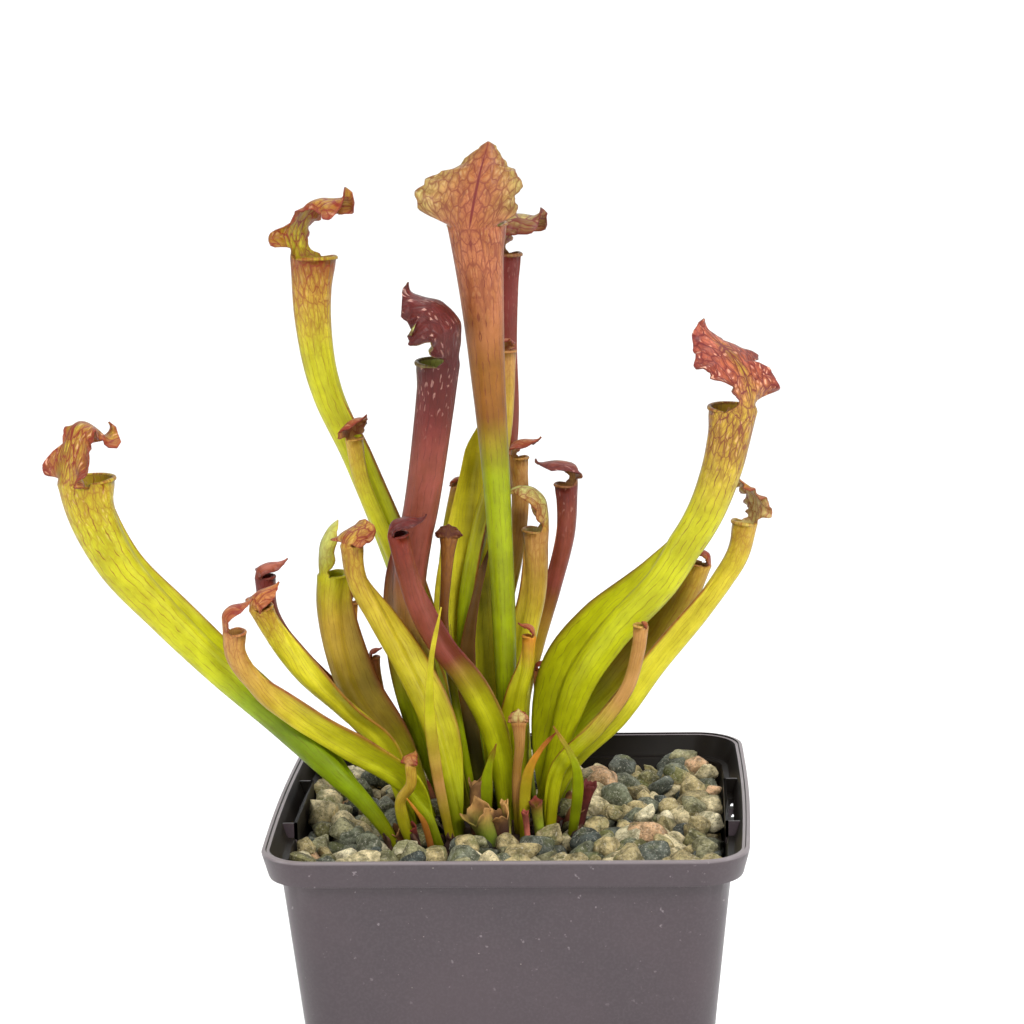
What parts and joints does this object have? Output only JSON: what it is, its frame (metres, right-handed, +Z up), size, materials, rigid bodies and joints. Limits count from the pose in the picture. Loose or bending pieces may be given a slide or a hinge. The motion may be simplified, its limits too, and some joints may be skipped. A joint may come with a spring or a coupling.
{
  "type": "potted pitcher plant",
  "caption": "Pitcher plant with hooded tubular leaves in a square nursery pot, with growing medium, a gravel top layer and a rooted rhizome.",
  "frame": {"origin": "middle of the pot's underside, on the flat that it stands on", "axes": "+Z up, +X to the right in the picture along the pot's front rim, +Y away from the viewer"},
  "size_m": [0.1837, 0.12, 0.2842],
  "materials": {
    "pot_plastic": "satin",
    "growing_medium": "matte",
    "gravel": "matte",
    "rhizome": "matte",
    "leaf_lime": "satin",
    "leaf_olive": "satin",
    "leaf_yellow": "satin",
    "leaf_copper": "satin",
    "leaf_maroon": "satin",
    "leaf_red": "satin",
    "leaf_green": "satin",
    "leaf_amber": "satin"
  },
  "bodies": {
    "root": {"pot": "pot_plastic", "growing_medium": "growing_medium", "gravel": "gravel", "rhizome": "rhizome", "pitcher_far_left": "leaf_lime", "pitcher_top_left": "leaf_lime", "pitcher_centre_tall": "leaf_copper", "pitcher_dark_tall": "leaf_maroon", "pitcher_big_right": "leaf_lime", "pitcher_second_right": "leaf_lime", "pitcher_back_tall": "leaf_maroon", "pitcher_low_left": "leaf_yellow", "pitcher_mid_left": "leaf_yellow", "pitcher_red_left": "leaf_maroon", "pitcher_olive_left": "leaf_olive", "pitcher_gold_left": "leaf_yellow", "pitcher_dark_front": "leaf_maroon", "pitcher_flared": "leaf_red", "pitcher_back_yellow": "leaf_yellow", "pitcher_back_middle": "leaf_olive", "pitcher_tan_curled": "leaf_amber", "pitcher_red_right": "leaf_maroon", "pitcher_hidden_right": "leaf_amber", "pitcher_brown_right": "leaf_amber", "pitcher_over_top_left": "leaf_yellow", "pitcher_yellow_hook": "leaf_yellow", "pitcher_small_front": "leaf_red", "pitcher_hook_left": "leaf_amber", "pitcher_thin_left": "leaf_amber", "pitcher_hook_right": "leaf_amber", "pitcher_behind_dark": "leaf_olive", "pitcher_front_curl": "leaf_amber", "blade_front": "leaf_yellow", "blade_orange_tip": "leaf_amber", "blade_drooping": "leaf_green", "blade_centre": "leaf_green", "blade_curl": "leaf_amber", "blade_wide": "leaf_green", "blade_olive": "leaf_olive"}
  },
  "joints": []
}
